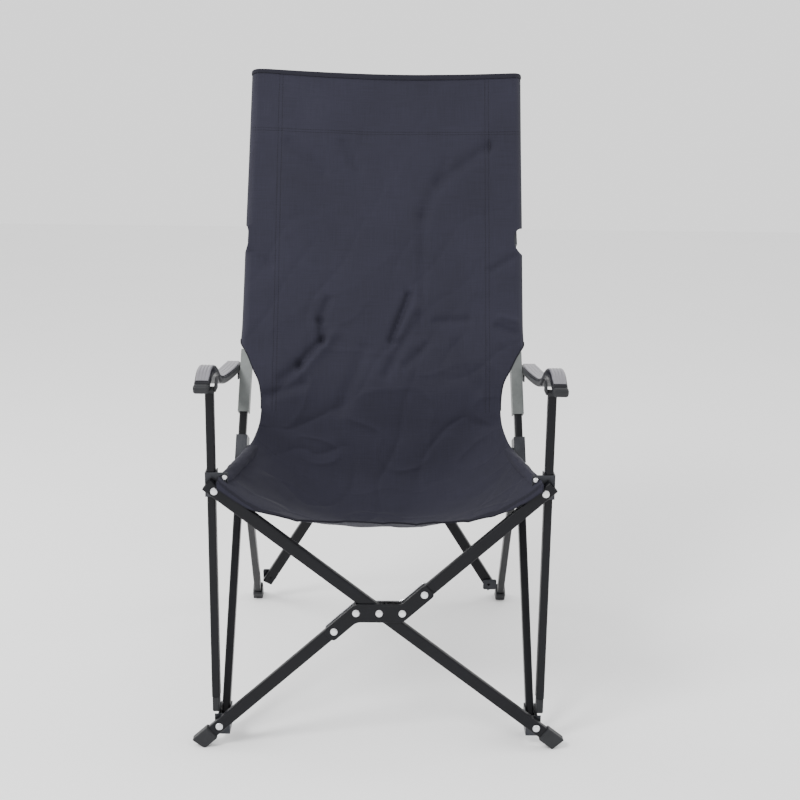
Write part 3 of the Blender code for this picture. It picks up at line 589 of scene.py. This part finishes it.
def settle(piece):
    """Turn the thickness into real mesh, with sharp edges past 50 degrees."""
    bpy.context.view_layer.update()
    shaped = piece.evaluated_get(bpy.context.evaluated_depsgraph_get())
    piece.data = bpy.data.meshes.new_from_object(shaped)
    piece.modifiers.clear()
    piece.data.set_sharp_from_angle(angle=math.radians(50))
    return piece


# %% [markdown]
# ## The back of the sling
# The back is one panel from the top hem down past the armrests. It hangs on both back posts, which close together as
# the chair collects, so it rides on the left one, towards which the real cloth bunches up.

# %% Back panel


def back_place(s, t):
    along = t * SPLIT
    point, x, edge = cloth_point(2 * s - 1, along)
    return point, x, along, edge if along > FREE_EDGE else max(edge, 0.004)


def make_back():
    piece, size, area = grid_piece("sling_back_panel", 150, 190, back_place, BACK_CLOTH)
    settle(piece)
    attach(piece, "back_left")
    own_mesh(piece)
    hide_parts("sling_back")
    return piece, size, min(area, size[0] * size[1])


back_panel, back_cut, back_area = make_back()

# %% [markdown]
# ## The seat of the sling
# The seat runs on from the back panel without a step, because both read the same stations. Only the pieces differ:
# as the chair closes, the seat rails stand up, and the seat rides on the left rail.

# %% Seat panel


def seat_place(s, t):
    along = SPLIT + t * (CLOTH_LENGTH - SPLIT)
    point, x, edge = cloth_point(2 * s - 1, along)
    return point, x, along, min(max(edge, 0.006), CLOTH_LENGTH - along)


def make_seat():
    piece, size, area = grid_piece("sling_seat_panel", 130, 150, seat_place, SEAT_CLOTH)
    settle(piece)
    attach(piece, "seat_rail_left")
    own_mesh(piece)
    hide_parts("sling_seat")
    return piece, size, min(area, size[0] * size[1])


seat_panel, seat_cut, seat_area = make_seat()

# %% [markdown]
# ## Sleeves round the back posts
# Behind each post the cloth turns back to its stitch line, which makes the sleeve that the post slides into. Each
# sleeve is in two lengths, with the brace between them. A sleeve belongs to its own post and rides on it.

# %% Back sleeves

SLEEVE_IN = 0.1865
SLEEVE_BACK = 0.0150
SLEEVE_EASE = 1.02         # a sleeve is cut a little wider than the surface it covers


def sleeve_path(share, half):
    """(x, depth) behind a post, from the outer fold at `half` round to the stitch line."""
    turn = 0.30
    if share < turn:
        angle = share / turn * math.pi / 2
        return half - SLEEVE_BACK * (1 - math.cos(angle)), SLEEVE_BACK * math.sin(angle)
    run = (share - turn) / (1 - turn)
    x = half - SLEEVE_BACK - run * (half - SLEEVE_BACK - SLEEVE_IN)
    return x, SLEEVE_BACK - (SLEEVE_BACK + 0.0128) * max(0.0, (run - 0.35) / 0.65) ** 2.2


def make_back_sleeve(side, word, part, low, high):
    def place(s, t):
        share = s if side < 0 else 1 - s
        z = high + (low - high) * t
        x, depth = sleeve_path(1 - share, HALF_WIDTH - 0.0004 - left_pull(side, z))
        ripple = noise.noise(Vector((x * 30.0, z * 14.0, side * 2.0))) * 0.0009 * (1 - share) * 2
        y, height = behind_posts(z, depth + ripple)
        edge = min(t, 1 - t) * (high - low) / math.cos(LEAN)
        return Vector((side * x, y + POST_PLANE, height)), side * (x + depth), z, edge

    name = "back_sleeve_" + word + "_" + part
    piece, size, area = grid_piece(name, 26, 60, place, PLAIN_CLOTH, thickness=0.0012)
    settle(piece)
    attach(piece, "back_" + word)
    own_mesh(piece)
    width = area / size[1] * SLEEVE_EASE


for word, side in (("left", -1), ("right", 1)):
    make_back_sleeve(side, word, "upper", NOTCH_Z + NOTCH_HALF, SLING_TOP_Z - 0.0035)
    make_back_sleeve(side, word, "lower", 0.606, 0.745)

# %% [markdown]
# ## Sleeves round the seat rails
# The seat's edge folds down outside each rail and comes back under it to a stitch line. The sleeve's front end is
# screwed to the corner bracket on the arm post. It is a tube of cloth that is flat below, so it is drawn round the
# rail's own direction, which comes from the rail's box.

# %% Rail sleeves

RAIL_INSET = 0.0055        # the rail's axis from the side of its box
RAIL_RISE = 0.0022         # how far each end is above or below the box's middle


def rail_line(side, word):
    """The rail's rear and front ends, read from its box."""
    low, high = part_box("seat_rail_" + word)
    inner, outer = (high.x, low.x) if side < 0 else (low.x, high.x)
    rear = Vector((inner + side * RAIL_INSET, high.y - 0.001, (low.z + high.z) / 2 - RAIL_RISE))
    front = Vector((outer - side * RAIL_INSET, low.y, (low.z + high.z) / 2 + RAIL_RISE))
    return rear, front


def make_rail_sleeve(side, word):
    rear, front = rail_line(side, word)
    run = front - rear
    start, end = 0.10, 1.29
    wide, above, below = 0.0098, 0.0132, 0.0165

    def place(s, t):
        share = start + (end - start) * t
        centre = rear + run * share
        angle = s * math.tau * 0.80 + math.radians(6)
        drop = 0.45 + 0.55 * min(1.0, (1 - t) / 0.16)
        pinch = 1.0 - 0.25 * max(0.0, t - 0.9) / 0.1
        out = math.cos(angle) * -wide * pinch
        up = math.sin(angle) * (below * drop if math.sin(angle) < 0 else above)
        ripple = noise.noise(Vector((angle * 1.5, share * 9.0, side * 4.0))) * 0.0011
        point = centre + Vector((side * (out + ripple), 0, up + ripple))
        return point, side * angle * 0.012, share * run.length, min(t, 1 - t) * run.length

    piece, size, area = grid_piece("seat_sleeve_" + word, 30, 70, place, PLAIN_CLOTH, thickness=0.0012)
    settle(piece)
    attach(piece, "seat_rail_" + word)
    width = area / size[1] * SLEEVE_EASE


for word, side in (("left", -1), ("right", 1)):
    make_rail_sleeve(side, word)

# %% [markdown]
# ## Hems and bindings
# A hem is the cloth's edge folded over and sewn, so it stands a little proud, and its cloth is darkened as painted
# shade. Each is a narrow band that reads the same surface as the panel below it, lifted by one thickness, with a
# rounded outer edge.

# %% Bands on the sling


def make_band(name, body, across, along, segments, lift=0.0013, thickness=0.0012):
    """A band on the cloth's face between two places across and two distances down."""
    narrow = abs(across[1] - across[0]) < 0.5

    def place(s, t):
        a = across[0] + (across[1] - across[0]) * s
        v = along[0] + (along[1] - along[0]) * t
        swell = math.sin(math.pi * (s if narrow else t)) * 0.0006
        point, x, _ = cloth_point(a, v, lift + swell)
        rim = min(s, 1 - s) * 0.01 if narrow else min(t, 1 - t) * 0.012
        return point, x, v, rim + 0.0012

    piece, _, _ = grid_piece(name, segments[0], segments[1], place, SHADED_HEM_CLOTH, thickness)
    settle(piece)
    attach(piece, body)
    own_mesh(piece)
    return piece


top_hem = make_band("sling_top_hem", "back_left", (-0.998, 0.998), (-0.0012, 0.0105), (120, 6))
front_hem = make_band("sling_front_hem", "seat_rail_left", (-0.99, 0.99),
                      (CLOTH_LENGTH - 0.0078, CLOTH_LENGTH + 0.0004), (120, 5))
bindings = [make_band("sling_back_binding_" + word, "back_left", sorted((side * 0.955, side * 0.999)),
                      (FREE_EDGE, SPLIT), (4, 60), lift=0.0007)
            for word, side in (("left", -1), ("right", 1))]
print("hems and bindings made")

# %% [markdown]
# ## Ribbed armrest covers
# Each armrest is a dark moulding with a light grey, ribbed top that follows its hump and dip. The ribs run lengthwise.
# The cover finds the moulding's top by looking straight down at it, so the two always touch, and the ribs are a wave
# across the grid.

# %% Armrest covers

RIBS = 4
RIB_TALL = 0.0011
EDGE_LEFT = 0.0026


def make_arm_cover(word):
    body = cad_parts["armrest_" + word]
    low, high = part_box("armrest_" + word)

    def top_of(x, y):
        hit, where, _, _ = body.ray_cast(Vector((x, y, high.z + 0.05)), Vector((0, 0, -1)))
        return where.z if hit else None

    def edges_at(y):
        xs = [low.x + (high.x - low.x) * k / 160 for k in range(161)]
        found = [x for x in xs if top_of(x, y) is not None]
        return min(found) + EDGE_LEFT, max(found) - EDGE_LEFT

    rows = 66
    front, rear = low.y + 0.0035, high.y - 0.004
    table = [edges_at(front + (rear - front) * k / rows) for k in range(rows + 1)]

    def place(s, t):
        y = front + (rear - front) * t
        left, right = table[round(t * rows)]
        x = left + (right - left) * s
        rib = abs(math.sin(math.pi * s * RIBS)) ** 0.6
        point = Vector((x, y, top_of(x, y) + 0.0004 + RIB_TALL * rib * min(1.0, 12 * min(t, 1 - t) + 0.2)))
        return point, x, y, min(s, 1 - s) * (right - left)

    piece, _, _ = grid_piece("armrest_cover_" + word, 48, rows, place, ARM_GREY, thickness=0.0010)
    settle(piece)
    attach(piece, "arm_" + word)


bpy.context.view_layer.update()
for word in ("left", "right"):
    make_arm_cover(word)

# %% [markdown]
# ## A finish on every frame piece
# The frame's pieces keep their shape and only change their finish. Their names say what they are made of, so one
# table from the start of a name to a finish covers them all, and anything left over stops the script.

# %% Dress the frame

DRESSED = {"front_leg": BLACK_TUBE, "front_hub_plate": BLACK_TUBE, "front_hub_rivet": BRIGHT_STEEL,
           "front_foot_cap": DARK_PLASTIC, "foot_joint": GREY_STEEL, "foot_pin": BRIGHT_STEEL,
           "foot_rivet": BRIGHT_STEEL, "arm_post_plug": DARK_PLASTIC, "arm_post_cap": DARK_PLASTIC,
           "arm_post": BLACK_TUBE, "seat_corner": GREY_STEEL, "seat_rivet": BRIGHT_STEEL,
           "sling_corner": BRIGHT_STEEL, "back_post_cap": DARK_PLASTIC, "back_post": BLACK_TUBE,
           "arm_bracket": SATIN_STEEL, "cross_clamp": GREY_STEEL, "seat_hinge": GREY_STEEL,
           "rear_leg_pin": BRIGHT_STEEL, "rear_leg": BLACK_TUBE, "rear_foot": DARK_PLASTIC,
           "seat_rail": BLACK_TUBE, "armrest_front": DARK_PLASTIC, "armrest_rear": GREY_STEEL,
           "armrest": ARM_BLACK, "rear_cross_rivet": BRIGHT_STEEL, "rear_cross": BLACK_TUBE,
           "cross_top": GREY_STEEL, "cross_foot": GREY_STEEL, "sling": PLAIN_CLOTH}
for name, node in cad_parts.items():
    start = max((word for word in DRESSED if name.startswith(word)), key=len)
    node.data.materials.clear()
    node.data.materials.append(DRESSED[start])
print("dressed", len(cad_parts), "frame pieces")

# %% [markdown]
# ## Floor
# Dark tubes and dark cloth show their edges best against a plain pale floor.

# %% Floor


def make_floor():
    bm = bmesh.new()
    bmesh.ops.create_grid(bm, x_segments=2, y_segments=2, size=6.0)
    mesh = bpy.data.meshes.new("floor")
    bm.to_mesh(mesh)
    bm.free()
    finish = Finish("pale_floor", Roughness=0.9, Metallic=0.0)
    patches = finish.noise(finish.place(), 2.0)
    finish.drive("Base Color", finish.shades(patches, (0.90, 0.90, 0.90), (0.93, 0.93, 0.93)))
    mesh.materials.append(finish.material)
    floor = bpy.data.objects.new("floor", mesh)
    floor.location.z = -0.0005
    bpy.context.scene.collection.objects.link(floor)


make_floor()

# %% [markdown]
# ## Light
# One large light above and in front gives the cloth its gentle fall-off, two side lights draw a line along each tube,
# and the pale world fills the rest.

# %% World and lights


def make_world():
    world = bpy.data.worlds.new("pale_room")
    world.use_nodes = True
    world.node_tree.nodes["Background"].inputs["Color"].default_value = (1.0, 1.0, 1.0, 1.0)
    world.node_tree.nodes["Background"].inputs["Strength"].default_value = 1.45
    bpy.context.scene.world = world


def make_light(name, place, size, power):
    light = bpy.data.lights.new(name, "AREA")
    light.shape = "DISK"
    light.size = size
    light.energy = power
    lamp = bpy.data.objects.new(name, light)
    lamp.location = place
    aim = Vector((0, 0, 0.6)) - Vector(place)
    lamp.rotation_euler = aim.to_track_quat("-Z", "Y").to_euler()
    bpy.context.scene.collection.objects.link(lamp)


make_world()
make_light("key", (-1.7, -1.9, 3.0), 1.1, 95)
make_light("left_edge", (-2.6, 0.4, 1.6), 1.2, 25)
make_light("right_edge", (2.6, 0.2, 1.8), 1.2, 25)
print("lights made")

# %% [markdown]
# ## Camera
# The camera looks slightly down at the chair's front with a moderate lens. It stands a little crooked, as a camera
# held by hand does.

# %% Camera


def make_camera():
    camera = bpy.data.cameras.new("front_view")
    camera.lens = 62.2
    camera.sensor_width = 36.0
    camera.clip_end = 100.0
    viewer = bpy.data.objects.new("front_view", camera)
    viewer.location = (0.0, POST_PLANE - 2.062, 1.123)
    turn = Matrix.Rotation(math.radians(-0.81), 4, "Z") @ Matrix.Rotation(math.radians(90 - 14.75), 4, "X")
    viewer.rotation_euler = (turn @ Matrix.Rotation(math.radians(0.75), 4, "Z")).to_euler()
    bpy.context.scene.collection.objects.link(viewer)
    bpy.context.scene.camera = viewer


make_camera()

# %% End


print("scene dressed")
